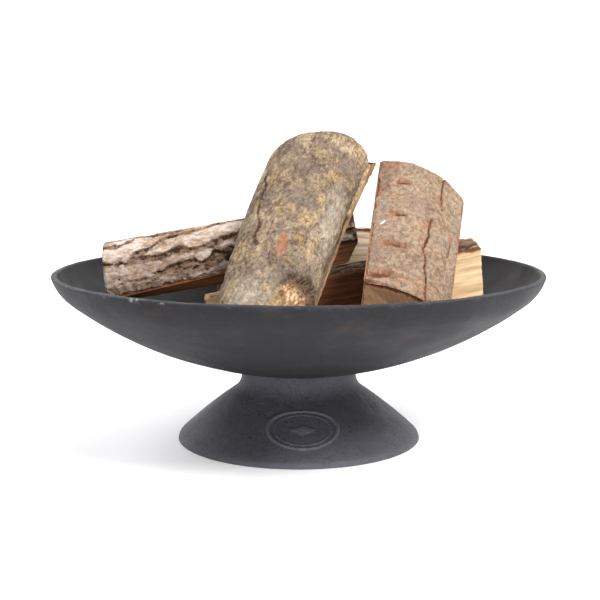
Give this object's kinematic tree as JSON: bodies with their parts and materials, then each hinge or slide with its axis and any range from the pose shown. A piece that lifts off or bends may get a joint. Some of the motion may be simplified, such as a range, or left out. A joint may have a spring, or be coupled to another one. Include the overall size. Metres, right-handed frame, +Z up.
{
  "type": "fire bowl",
  "caption": "Round cast-iron fire bowl on a flared hollow foot, held by one central bolt, loaded with split firewood.",
  "frame": {"origin": "on the floor, on the bowl's axis, at the centre of the foot's base ring", "axes": "+Z up along the bowl's axis; -Y is the side that carries the blank cast badge; +X to the right seen from there"},
  "size_m": [0.59, 0.59, 0.3748],
  "materials": {
    "iron": "dark matte cast iron with a fine sand texture",
    "steel": "zinc-plated steel, dulled",
    "firewood": "split log with bark, dry and matte"
  },
  "bodies": {
    "root": {"bowl": "iron", "foot": "iron", "centre_bolt": "steel", "bowl_washer": "steel", "foot_washer": "steel", "centre_nut": "steel"},
    "log_left_body": {"log_left": "firewood"},
    "log_centre_body": {"log_centre": "firewood"},
    "log_right_body": {"log_right": "firewood"},
    "log_back_body": {"log_back": "firewood"},
    "log_front_body": {"log_front": "firewood"}
  },
  "joints": [
    {"name": "lift_log_front", "type": "slide", "parent": "root", "child": "log_front_body", "axis": [0, -0.3419, 0.9397], "range_m": [0, 0.3]},
    {"name": "lift_log_left", "type": "slide", "parent": "log_front_body", "child": "log_left_body", "axis": [-0.174, 0, 0.9848], "range_m": [0, 0.3]},
    {"name": "lift_log_centre", "type": "slide", "parent": "log_left_body", "child": "log_centre_body", "axis": [-0.2501, -0.4501, 0.8572], "range_m": [0, 0.3]},
    {"name": "lift_log_right", "type": "slide", "parent": "log_front_body", "child": "log_right_body", "axis": [0.2001, -0.4002, 0.8943], "range_m": [0, 0.3]},
    {"name": "lift_log_back", "type": "slide", "parent": "root", "child": "log_back_body", "axis": [0, 0, 1], "range_m": [0, 0.3]}
  ]
}
